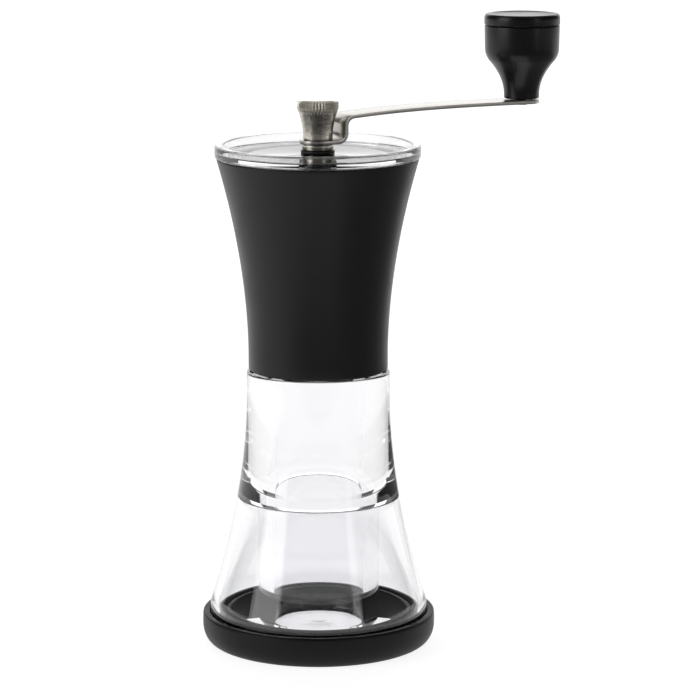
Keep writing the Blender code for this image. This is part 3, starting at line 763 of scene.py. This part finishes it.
@dataclass(frozen=True)
class BurrSet:
    """The ceramic burrs, the holder that clamps the outer one, and what carries the inner one."""

    teeth: int = 32
    twist: float = 0.035  # turns of the teeth round the cone for each millimetre of height
    tooth_depth: float = 0.5
    feed_flutes: int = 6
    feed_depth: float = 3.4
    lobes: int = 8
    lobe_depth: float = 1.3
    outer_cone: Point = (13.75, 15.6)  # its inner radius at the mouth and at the throat
    inner_top: float = 6.6
    holder_wall: float = 19.0
    holder_opening: float = 15.0
    core_neck: float = 4.9
    core_collar: float = 6.0

    def pieces(self) -> Iterator[Piece]:
        """Model the burrs and what holds them."""
        yield Piece(self.holder(), NYLON_BLACK, "hopper", "burr_holder")
        yield Piece(self.outer_burr(), CERAMIC, "hopper", "outer_burr")
        yield Piece(self.inner_burr(), CERAMIC, "burr", "inner_burr")
        yield Piece(self.core(), NYLON_BLACK, "burr", "burr_core")
        yield Piece(self.detents(), SPRING_STEEL, "burr", "detent_plate")
        yield Piece(self.adjuster(), NYLON_BLACK, "adjuster", "adjusting_nut")
        for number in (1, 2, 3):
            yield Piece(self.screw(number), TURNED_STEEL, "hopper", f"holder_screw_{number}")

    def holder(self) -> Solid:
        """The clamping ring: a flange under the shelf and a cup round the outer burr."""
        holder = extent("burr_holder")
        flange = extent("outer_burr").low - GAP
        inner = extent("outer_burr").radius + 0.3
        corners = [
            (self.holder_wall, holder.high, 0.3), (self.holder_wall, flange, 0.3),
            (holder.radius, flange, 0.3), (holder.radius, holder.low, 0.4),
            (self.holder_opening, holder.low, 0.5), (self.holder_opening, flange, 0.2),
            (inner, flange, 0.2), (inner, holder.high, 0.3),
        ]
        piece = lathe("burr_clamp_ring", corners, SMALL, True, 4)
        for number in (1, 2, 3):
            combine(piece, self.screw(number, grown=0.12, drop=1.0))
        return smooth(piece)

    def outer_burr(self) -> Solid:
        """The fixed ring burr, with slanting teeth inside."""
        burr = extent("outer_burr")
        mouth, throat = self.outer_cone
        start = burr.low + 2.0
        heights = run(start, burr.high - 0.4, 22)
        wall = corner_row(lambda z: mouth + (throat - mouth) * (z - start) / 13.0, heights)
        corners = [
            (burr.radius, burr.high, 0.4), (burr.radius, burr.low, 0.4), (mouth + 0.4, burr.low, 0.2),
            (mouth, burr.low + 0.6, 0.2),
            *wall,
            (throat, burr.high, 0.3),
        ]
        piece = lathe("outer_burr_ceramic", corners, self.teeth * 8, True, 3)

        def tooth(angle: float, z: float) -> float:
            """A saw tooth that slants along the wall."""
            place = self.teeth * (angle / (2 * math.pi) - self.twist * (z - burr.low))
            return place - math.floor(place)

        toothed = (burr.low + 0.7, burr.high - 0.5)
        press(piece, -self.tooth_depth, mouth, toothed, tooth, (mouth - 0.2, throat + 0.1))
        return smooth(piece)

    def inner_burr(self) -> Solid:
        """The conical burr: deep feed flutes above, fine slanting teeth below."""
        burr = extent("inner_burr")
        top, hole = self.inner_top, 5.1
        edge_z = burr.low + 1.4
        side = [
            (burr.radius - 0.3 + (top - burr.radius + 0.3) * (z - edge_z) / (burr.high - edge_z), z, 0.0)
            for z in run(edge_z, burr.high - 0.2, 30)
        ]
        corners = [
            (top, burr.high, 0.3),
            *reversed(side),
            (burr.radius, burr.low + 0.8, 0.3), (burr.radius - 0.4, burr.low, 0.3),
            (hole, burr.low, 0.3), (hole, burr.high, 0.3),
        ]
        piece = lathe("inner_burr_ceramic", corners, self.teeth * 8, True, 3)

        def fine(angle: float, z: float) -> float:
            """Saw teeth, which fade towards the top."""
            place = self.teeth * (angle / (2 * math.pi) + self.twist * (z - burr.low))
            return (place - math.floor(place)) * min(1.0, (burr.high - z) / 6.0)

        def feed(angle: float, z: float) -> float:
            """Broad flutes that draw the beans down."""
            place = self.feed_flutes * (angle / (2 * math.pi) + self.twist * 0.8 * (z - burr.low))
            hollow = max(0.0, math.cos(2 * math.pi * place))
            return hollow * max(0.0, min(1.0, (z - burr.low - 4.0) / 5.0))

        outside = (hole + 0.4, burr.radius + 1.0)
        press(piece, self.tooth_depth, burr.radius, (burr.low + 0.4, burr.high - 0.4), fine, outside)
        press(piece, self.feed_depth, burr.radius, (burr.low + 3.0, burr.high - 0.4), feed, outside)
        return smooth(piece)

    def core(self) -> Solid:
        """The plastic core that slides on the shaft and carries the inner burr."""
        core = extent("burr_core")
        burr = extent("inner_burr")
        corners = [
            (0.0, core.high, 0.0), (self.core_collar, core.high, 0.4),
            (self.core_collar, burr.high + GAP, 0.2), (self.core_neck, burr.high + GAP, 0.2),
            (self.core_neck, burr.low - GAP, 0.2), (core.radius, burr.low - GAP, 0.3),
            (core.radius, core.low, 0.4), (0.0, core.low, 0.0),
        ]
        piece = lathe("inner_burr_core", corners, SMALL, parts=4)
        hole = drill("core_hole", SHAFT_BORE, core.low - 2, core.high + 2, flat=2.95)
        return smooth(combine(piece, settle(hole, angle=CRANK_ANGLE)))

    def detents(self) -> Solid:
        """A stamped plate that the nut clicks over."""
        plate = extent("detent_plate")
        corners = [
            (plate.radius, plate.high, 0.15), (plate.radius, plate.low, 0.15),
            *[(r, plate.low, 0.0) for r in run(7.0, 4.6, 8)],
            (SHAFT_BORE, plate.low, 0.1), (SHAFT_BORE, plate.high, 0.1),
        ]
        return lathe("click_plate", corners, SMALL, True, 3)

    def adjuster(self) -> Solid:
        """The lobed nut that sets the grind."""
        nut = extent("adjusting_nut")
        corners = [
            (THREAD_BORE, nut.high, 0.2), (6.4, nut.high, 0.3), (nut.radius, nut.high - 0.6, 0.7),
            *upright(nut.radius, nut.high - 2.0, nut.low + 1.2, 4),
            (nut.radius, nut.low, 0.8), (THREAD_BORE, nut.low, 0.3),
        ]
        piece = lathe("grind_nut", corners, self.lobes * 16, True)

        def lobe(angle: float, _z: float) -> float:
            """Round lobes with finger grooves between them."""
            return 0.5 - 0.5 * math.cos(self.lobes * angle)

        side = (nut.low - 1, nut.high + 1)
        press(piece, self.lobe_depth, nut.radius, side, lobe, (7.5, nut.radius + 1), levels=8)
        return smooth(piece)

    def screw(self, number: int, grown: float = 0.0, drop: float = 0.0) -> Solid:
        """A countersunk screw, or with grown over 0 the hole for it."""
        node = extent(f"holder_screw_{number}")
        low, shank, head = node.low - drop, 0.9 + grown, 1.5 + grown
        outline = [
            (0.0, node.high + grown), (shank, node.high - 0.4), (shank, node.low + 1.3),
            (head, node.low + 0.3), (head, low), (0.0, low),
        ]
        piece = turn(f"clamp_screw_{number}" if grown == 0.0 else "screw_hole", outline, 32)
        if grown == 0.0:
            for angle in (0.0, math.pi / 2):
                slot = settle(block("slot", (1.7, 0.4, 1.2), (0.0, 0.0, low)), angle=angle)
                combine(piece, slot)
            smooth(piece)
        return settle(piece, node.x, node.y)


@dataclass(frozen=True)
class Drive:
    """The shaft and what is fitted on it."""

    pitch: float = 1.0
    thread_depth: float = 0.32
    thread_radius: float = 2.9
    shoulder: float = 190.3
    lower_thread: float = 115.0
    burr_flats: tuple[float, float, float] = (2.8, 114.0, 138.5)  # half width, lowest, highest
    crank_flat: float = 2.3
    clip_radii: Point = (3.1, 5.8)
    coil_turns: float = 4.5
    wire: float = 0.5

    def pieces(self) -> Iterator[Piece]:
        """Model the shaft, its clip and washer, and the spring."""
        yield Piece(self.shaft(), TURNED_STEEL, "drive", "drive_shaft")
        yield Piece(self.clip(), SPRING_STEEL, "drive", "shaft_clip")
        washer = flat_ring("spring_washer", "thrust_washer", SHAFT_BORE, 0.2, 0.2)
        yield Piece(washer, SPRING_STEEL, "drive", "thrust_washer")
        yield Piece(self.spring(), SPRING_STEEL, "burr", "burr_spring")

    def shaft(self) -> Solid:
        """The shaft, threaded at both ends, with drive flats for the burr and the crank."""
        shaft = extent("drive_shaft")
        clip = extent("shaft_clip")
        thread_r, shoulder, lower = self.thread_radius, self.shoulder, self.lower_thread
        corners = [
            (0.0, shaft.high, 0.0), (thread_r, shaft.high, 0.5),
            *upright(thread_r, shaft.high - 0.8, 192.6, 80),
            (thread_r, shoulder, 0.1), (shaft.radius, shoulder, 0.3),
            (shaft.radius, clip.high + 0.2, 0.1), (2.8, clip.high + 0.2, 0.1),
            (2.8, clip.low - 0.2, 0.1), (shaft.radius, clip.low - 0.2, 0.1), (shaft.radius, lower, 0.3),
            *upright(thread_r, lower - 0.4, shaft.low + 0.8, 50),
            (thread_r, shaft.low, 0.5), (0.0, shaft.low, 0.0),
        ]
        piece = lathe("steel_shaft", corners, 48, parts=3)

        def thread(angle: float, z: float) -> float:
            """A vee groove that winds round, one pitch each turn."""
            along = z / self.pitch - angle / (2 * math.pi)
            return abs(2.0 * (along - round(along)))

        near = (thread_r - 0.05, thread_r + 0.05)
        for low, high in ((193.0, shaft.high - 0.9), (shaft.low + 0.9, lower - 0.6)):
            press(piece, self.thread_depth, thread_r, (low, high), thread, near)
        for side in (-1, 1):
            for flat, low, high in (self.burr_flats, (self.crank_flat, shoulder + 0.05, shaft.high + 1.0)):
                cutter = block("flat", (4.0, 12.0, high - low), (side * (flat + 2.0), 0.0, (low + high) / 2))
                combine(piece, settle(cutter, angle=CRANK_ANGLE))
        return smooth(piece)

    def clip(self) -> Solid:
        """The open retaining clip."""
        clip = extent("shaft_clip")
        inner, outer = self.clip_radii
        wall = [(outer, clip.high, 0.1), (outer, clip.low, 0.1)]
        corners = [*wall, (inner, clip.low, 0.1), (inner, clip.high, 0.1)]
        piece = lathe("retaining_clip", corners, SMALL, True, 2)
        return smooth(combine(piece, block("mouth", (8.0, 5.2, 4.0), (4.0, 0.0, clip.low))))

    def spring(self) -> Solid:
        """The compression spring: a round wire wound up the shaft."""
        spring = extent("burr_spring")
        coil = spring.radius - self.wire
        rise = spring.high - spring.low - 2 * self.wire
        deselect()
        bpy.ops.mesh.primitive_circle_add(
            vertices=12,
            radius=self.wire * MM,
            location=(coil * MM, 0.0, (spring.low + self.wire) * MM),
            rotation=(math.pi / 2, 0.0, 0.0),
        )
        piece = bpy.context.object
        piece.name = piece.data.name = "coil_spring"
        bpy.ops.object.transform_apply(location=True, rotation=True)
        steps = int(36 * self.coil_turns)
        modify(
            piece,
            "SCREW",
            angle=2 * math.pi * self.coil_turns,
            screw_offset=rise * MM,
            steps=steps,
            render_steps=steps,
            use_merge_vertices=False,
        )
        bpy.ops.object.mode_set(mode="EDIT")
        bpy.ops.mesh.select_mode(type="EDGE")
        bpy.ops.mesh.select_all(action="DESELECT")
        bpy.ops.mesh.select_non_manifold()
        bpy.ops.mesh.fill_holes(sides=0)
        return close_up(piece, 60.0)


@dataclass(frozen=True)
class Lid:
    """The clear lid and the black bush in its middle."""

    rim_wall: float = 3.2
    face: float = 187.1
    face_thick: float = 2.6
    lip_low: float = 181.2
    hole: float = 5.1
    collar_neck: float = 4.8
    lip_in: float = 32.4
    lip_out: float = 34.3

    def pieces(self) -> Iterator[Piece]:
        """Model the lid and its bush."""
        lid, bush = extent("lid"), extent("lid_bush")
        rim_low = extent("hopper_shell").high + GAP
        under = self.face - self.face_thick
        corners = [
            (lid.radius - self.rim_wall, lid.high, 0.8), (lid.radius, lid.high, 0.9),
            (lid.radius, rim_low, 0.7), (self.lip_out, rim_low, 0.4), (self.lip_out, self.lip_low, 0.5),
            (self.lip_in, self.lip_low, 0.5), (self.lip_in, under, 0.8), (self.hole, under, 0.2),
            (self.hole, self.face, 0.2), (lid.radius - self.rim_wall - 0.3, self.face, 0.9),
        ]
        yield Piece(lathe("clear_lid", corners, 192, True, 6), ACRYLIC, "lid", "lid")
        corners = [
            (bush.radius, bush.high, 0.3), (bush.radius, self.face + 0.1, 0.2),
            (self.collar_neck, self.face + 0.1, 0.1), (self.collar_neck, bush.low, 0.3),
            (SHAFT_BORE, bush.low, 0.2), (SHAFT_BORE, bush.high, 0.2),
        ]
        yield Piece(lathe("lid_collar", corners, SMALL, True, 4), NYLON_BLACK, "lid", "lid_bush")


@dataclass(frozen=True)
class Crank:
    """The brushed strip with its ring and rivet, and the fluted nut that holds it."""

    reach: float = 85.65
    thick: float = 1.3
    half: float = 6.9
    hub_mid: float = 191.35
    riser: float = 8.8
    bend: float = 3.3
    end_high: float = 202.45
    crown: float = 0.25
    flutes: int = 40
    flute_depth: float = 0.7
    nut_drop: float = 0.5  # closes the CAD's gap over the strip
    band_low: float = 204.0
    foot: float = 5.6
    bell_power: float = 1.8

    def pieces(self) -> Iterator[Piece]:
        """Model the crank's pieces."""
        yield Piece(self.strip(), STRIP_STEEL, "crank", "crank_arm")
        ring = flat_ring("hub_ring", "arm_washer", SHAFT_BORE, 0.25, 0.1, 4)
        yield Piece(ring, TURNED_STEEL, "crank", "arm_washer")
        yield Piece(self.nut(), TURNED_STEEL, "nut", "crank_nut")

    def path(self) -> list[Point]:
        """The strip's middle line from the hub's tip to the knob's tip, as distance and height."""
        angles = run(8.0, 90.0, 10)
        hub = [(-self.half * math.cos(math.radians(a)), self.hub_mid) for a in angles]
        low = [
            (self.riser - self.bend * (1 - math.cos(a)), self.hub_mid + self.bend + self.bend * math.sin(a))
            for a in (math.radians(d) for d in run(-90.0, 0.0, 12))
        ]
        top = self.end_high - 1.75 - self.bend
        high = [
            (self.riser + self.bend + self.bend * math.cos(a), top + self.bend * math.sin(a))
            for a in (math.radians(d) for d in run(180.0, 93.0, 12))
        ]
        start_d, start_z = high[-1]
        arm = []
        for t in run(0.0, 1.0, 30)[1:]:
            rise = (self.end_high + self.crown - start_z) * (1 - (1 - t) ** 3)
            arm.append((start_d + (self.reach - start_d) * t, start_z + rise - self.crown * t**2))
        far = [math.radians(90.0 - a) for a in reversed(angles)]
        tip = [(self.reach + self.half * math.sin(a), self.end_high) for a in far]
        return hub + low + high + arm + tip[1:]

    def half_width(self, distance: float) -> float:
        """Half the strip's width, with a half-round end at both tips."""
        over = max(0.0, -distance, distance - self.reach)
        return math.sqrt(max(self.half**2 - over**2, 0.9))

    def strip(self) -> Solid:
        """The strip: a band drawn along its path, thickened, drilled and with its edges broken."""
        path = self.path()
        (d, z), rest = path[0], path[1:]
        half = self.half_width(d)
        piece = start_vertex("crank_strip", d, -half, z)
        bpy.ops.mesh.extrude_vertices_move(TRANSFORM_OT_translate={"value": (0.0, 2 * half * MM, 0.0)})
        bpy.ops.mesh.select_all(action="SELECT")
        for next_d, next_z in rest:
            step = ((next_d - d) * MM, 0.0, (next_z - z) * MM)
            bpy.ops.mesh.extrude_region_move(TRANSFORM_OT_translate={"value": step})
            next_half = self.half_width(next_d)
            bpy.ops.transform.resize(
                value=(1.0, next_half / half, 1.0), center_override=(next_d * MM, 0.0, next_z * MM)
            )
            d, z, half = next_d, next_z, next_half
        close_up(piece)
        modify(piece, "SOLIDIFY", thickness=self.thick * MM, offset=0.0, use_even_offset=True)
        combine(piece, drill("hub_hole", THREAD_BORE, self.hub_mid - 3.35, self.hub_mid + 2.65, flat=2.45))
        combine(piece, drill("pin_hole", 2.15, 199.0, 205.0, x=self.reach))
        soften(piece, 0.28, angle=50.0)
        return settle(piece, angle=CRANK_ANGLE)

    def nut(self) -> Solid:
        """The thumb nut: a flared waist below a fluted band with a chamfered, slightly domed top."""
        nut = extent("crank_nut")
        low = nut.low - self.nut_drop

        def bell(z: float) -> float:
            """The nut's radius before its flutes are cut."""
            rise = min(1.0, max(0.0, (z - low - 1.0) / (self.band_low - low - 1.0)))
            return self.foot + (nut.radius - self.foot) * rise**self.bell_power

        corners = [
            (0.0, nut.high, 0.0), (4.6, nut.high - 0.3, 2.0), (nut.radius - 1.1, nut.high - 0.7, 0.4),
            (nut.radius, nut.high - 1.6, 0.3),
            *corner_row(bell, run(nut.high - 2.0, low + 1.0, 44)),
            (self.foot, low, 0.3), (THREAD_BORE, low, 0.2),
            (THREAD_BORE, extent("drive_shaft").high + 0.6, 0.2),
            (0.0, extent("drive_shaft").high + 1.4, 0.0),
        ]
        piece = lathe("thumb_nut", corners, self.flutes * 8, parts=4)
        grooved = (self.band_low - 3.4, nut.high - 0.9)

        def flute(angle: float, z: float) -> float:
            """Straight grooves of one depth, which run out where the bell falls away below them."""
            across = abs(math.sin(self.flutes * angle / 2))
            chamfer = max(0.0, (z - nut.high + 1.6) * 1.2)
            return max(0.0, 1.0 - across**1.4 - (nut.radius - bell(z) + chamfer) / self.flute_depth)

        press(piece, self.flute_depth, nut.radius, grooved, flute, (nut.radius - 1.6, nut.radius + 0.1))
        return smooth(piece, 50.0)


@dataclass(frozen=True)
class Knob:
    """The black grip, its cap, and the riveted axle that it spins on."""

    neck: float = 6.75
    swell: float = 5.75
    swell_low: float = 205.0
    swell_high: float = 218.0
    edge: float = 14.2
    bore: float = 2.15
    pocket: float = 6.0
    pocket_low: float = 222.0

    def pieces(self) -> Iterator[Piece]:
        """Model the knob's pieces and move them to its axle."""
        axle = extent("knob_body")
        made = (
            Piece(self.grip(), KNOB_BLACK, "knob", "knob_body"),
            Piece(self.cap(), KNOB_BLACK, "knob", "knob_cap"),
            Piece(self.pin(), BRONZE, "crank", "knob_pin"),
            Piece(self.ring("slip_washer", "knob_washer"), ACETAL_WHITE, "crank", "knob_washer"),
            Piece(self.ring("push_on_ring", "knob_retainer"), SPRING_STEEL, "crank", "knob_retainer"),
        )
        for piece in made:
            settle(piece.object, axle.x, axle.y)
            yield piece

    def ring(self, name: str, node: str) -> Solid:
        """A thin ring on the axle."""
        return flat_ring(name, node, self.bore + 0.05, 0.15, 0.1, steps=64)

    def grip_radius(self, z: float) -> float:
        """The grip's radius as it swells up from its neck."""
        rise = max(0.0, (z - self.swell_low) / (self.swell_high - self.swell_low))
        return self.neck + self.swell * rise**2

    def grip(self) -> Solid:
        """The flared grip, open at the top for its axle's ring."""
        grip = extent("knob_body")
        corners = [
            (self.pocket, grip.high, 0.3), (grip.radius, grip.high, 0.35), (self.edge, 222.4, 1.2),
            (self.edge - 0.25, 220.6, 1.0), (13.05, 218.7, 0.9),
            *corner_row(self.grip_radius, run(self.swell_high, self.swell_low, 26)),
            (self.neck, grip.low, 0.5), (5.0, grip.low, 0.2), (5.0, grip.low + 1.0, 0.1),
            (self.bore, grip.low + 1.0, 0.1), (self.bore, self.pocket_low, 0.1),
            (self.pocket, self.pocket_low, 0.3),
        ]
        return lathe("knob_grip", corners, ring=True)

    def cap(self) -> Solid:
        """The cap, with a shallow dish in its top."""
        cap = extent("knob_cap")
        low = extent("knob_body").high + GAP
        plug = self.pocket - 0.3
        corners = [
            (0.0, cap.high - 0.55, 0.0), (cap.radius - 3.4, cap.high - 0.5, 1.2),
            (cap.radius - 2.2, cap.high, 0.9), (cap.radius, cap.high - 0.2, 1.9),
            (cap.radius, low, 0.35), (plug, low, 0.2), (plug, cap.low, 0.3), (plug - 1.5, cap.low, 0.3),
            (plug - 1.5, low, 0.3), (0.0, low, 0.0),
        ]
        return lathe("knob_lid", corners, parts=8)

    def pin(self) -> Solid:
        """The axle, with its upset head under the strip."""
        pin = extent("knob_pin")
        head = pin.low + 0.9
        corners = [
            (0.0, pin.high, 0.0), (2.0, pin.high, 0.4), (2.0, head, 0.1), (pin.radius, head, 0.2),
            (pin.radius - 0.2, head - 0.6, 0.4), (0.0, pin.low, 0.0),
        ]
        return lathe("knob_axle", corners, 64, parts=4)


# ---- stage ----


@dataclass(frozen=True)
class Panel:
    """A soft light: a rectangle that faces a point near the object."""

    name: str
    place: tuple[float, float, float]
    size: tuple[float, float]
    power: float

    def build(self) -> None:
        """Hang the light."""
        light = bpy.data.lights.new(self.name, "AREA")
        light.shape = "RECTANGLE"
        light.size, light.size_y = self.size
        light.energy = self.power
        lamp = bpy.data.objects.new(self.name, light)
        bpy.context.scene.collection.objects.link(lamp)
        lamp.location = self.place
        aim = Vector((0.0, 0.0, 0.12)) - lamp.location
        lamp.rotation_euler = aim.to_track_quat("-Z", "Y").to_euler()
        lamp.visible_camera = False


@dataclass(frozen=True)
class Studio:
    """A white floor, soft light all round, and the camera."""

    camera_place: tuple[float, float, float] = (0.012, -1.19466, 0.34013)
    camera_pitch: float = 79.2
    lens: float = 165.9
    world: float = 0.09
    floor_glow: float = 0.88
    wall_glow: float = 1.04
    cards: tuple[tuple[str, str, Point, Point], ...] = (
        ("front_card", "#a4a4a4", (-2.2, 2.2), (-4.7, -0.3)),
        ("side_card", "#cccccc", (0.14, 2.4), (-0.3, 0.4)),
    )
    panels: tuple[Panel, ...] = (
        Panel("back_panel", (0.0, 3.0, 1.1), (4.5, 2.0), 41.0),
        Panel("top_panel", (0.0, 0.6, 2.6), (3.0, 2.0), 10.0),
        Panel("left_panel", (-2.56, -1.36, 1.1), (1.9, 2.2), 28.0),
        Panel("right_panel", (2.05, -2.05, 1.1), (0.5, 2.2), 4.0),
    )

    def sheet(self, name: str, colour: str, across: Point, along: Point, high: float) -> Solid:
        """Lay a matt sheet.

        Args:
            name: Its name, and its material's.
            colour: sRGB hex.
            across: Where it starts and ends in x, in metres.
            along: Where it starts and ends in y, in metres.
            high: Its height, in metres.

        Returns:
            The sheet.
        """
        deselect()
        bpy.ops.mesh.primitive_grid_add(x_subdivisions=4, y_subdivisions=4, size=1.0)
        made = bpy.context.object
        made.name = name
        made.location = (sum(across) / 2, sum(along) / 2, high)
        made.scale = (across[1] - across[0], along[1] - along[0], 1.0)
        matt = bpy.data.materials.new(name)
        matt.use_nodes = True
        shader = matt.node_tree.nodes["Principled BSDF"]
        shader.inputs["Base Color"].default_value = linear(colour)
        shader.inputs["Roughness"].default_value = 0.9
        made.data.materials.append(matt)
        return made

    def backdrop(self) -> None:
        """A white wall all round, far away, for views from low down. It is seen but lights nothing."""
        deselect()
        bpy.ops.mesh.primitive_uv_sphere_add(segments=48, ring_count=24, radius=14.0)
        wall = bpy.context.object
        wall.name = "white_wall"
        lit = bpy.data.materials.new("white_wall")
        lit.use_nodes = True
        shader = lit.node_tree.nodes["Principled BSDF"]
        shader.inputs["Base Color"].default_value = (0.0, 0.0, 0.0, 1.0)
        shader.inputs["Specular IOR Level"].default_value = 0.0
        shader.inputs["Emission Color"].default_value = (1.0, 1.0, 1.0, 1.0)
        shader.inputs["Emission Strength"].default_value = self.wall_glow
        wall.data.materials.append(lit)
        wall.visible_diffuse = wall.visible_glossy = wall.visible_transmission = wall.visible_shadow = False

    def build(self) -> None:
        """Lay the floor, light it and place the camera."""
        floor = self.sheet("white_paper", "#aaaaaa", (-15.0, 15.0), (-15.0, 15.0), 0.0)
        paper = floor.data.materials[0].node_tree.nodes["Principled BSDF"]
        # The paper lies on a light table, so it glows evenly.
        paper.inputs["Emission Color"].default_value = (1.0, 1.0, 1.0, 1.0)
        paper.inputs["Emission Strength"].default_value = self.floor_glow
        self.backdrop()
        # Card laid before the object and at its right, out of the picture: its black and steel reflect it.
        for name, colour, across, along in self.cards:
            card = self.sheet(name, colour, across, along, 0.001)
            card.visible_camera = card.visible_shadow = card.visible_diffuse = False
            card.visible_transmission = name == "front_card"
        scene = bpy.context.scene
        sky = bpy.data.worlds.new("studio")
        scene.world = sky
        sky.use_nodes = True
        glow = sky.node_tree.nodes["Background"]
        glow.inputs["Color"].default_value = (1.0, 1.0, 1.0, 1.0)
        glow.inputs["Strength"].default_value = self.world
        for panel in self.panels:
            panel.build()
        camera = bpy.data.objects.new("camera", bpy.data.cameras.new("camera"))
        scene.collection.objects.link(camera)
        camera.location = self.camera_place
        camera.rotation_euler = (math.radians(self.camera_pitch), 0.0, 0.0)
        camera.data.lens = self.lens
        camera.data.sensor_width = 36.0
        camera.data.clip_start, camera.data.clip_end = 0.01, 60.0
        scene.camera = camera
        scene.view_settings.view_transform = "Standard"


def main() -> None:
    """Build the studio and every sub-assembly."""
    logging.basicConfig(level=logging.INFO, format="%(message)s")
    Studio().build()
    for assembly in (Foot(), Jar(), Hopper(), BurrSet(), Drive(), Lid(), Crank(), Knob()):
        LOG.info("-- %s", type(assembly).__name__)
        for piece in assembly.pieces():
            piece.dress()


if __name__ == "__main__":
    main()
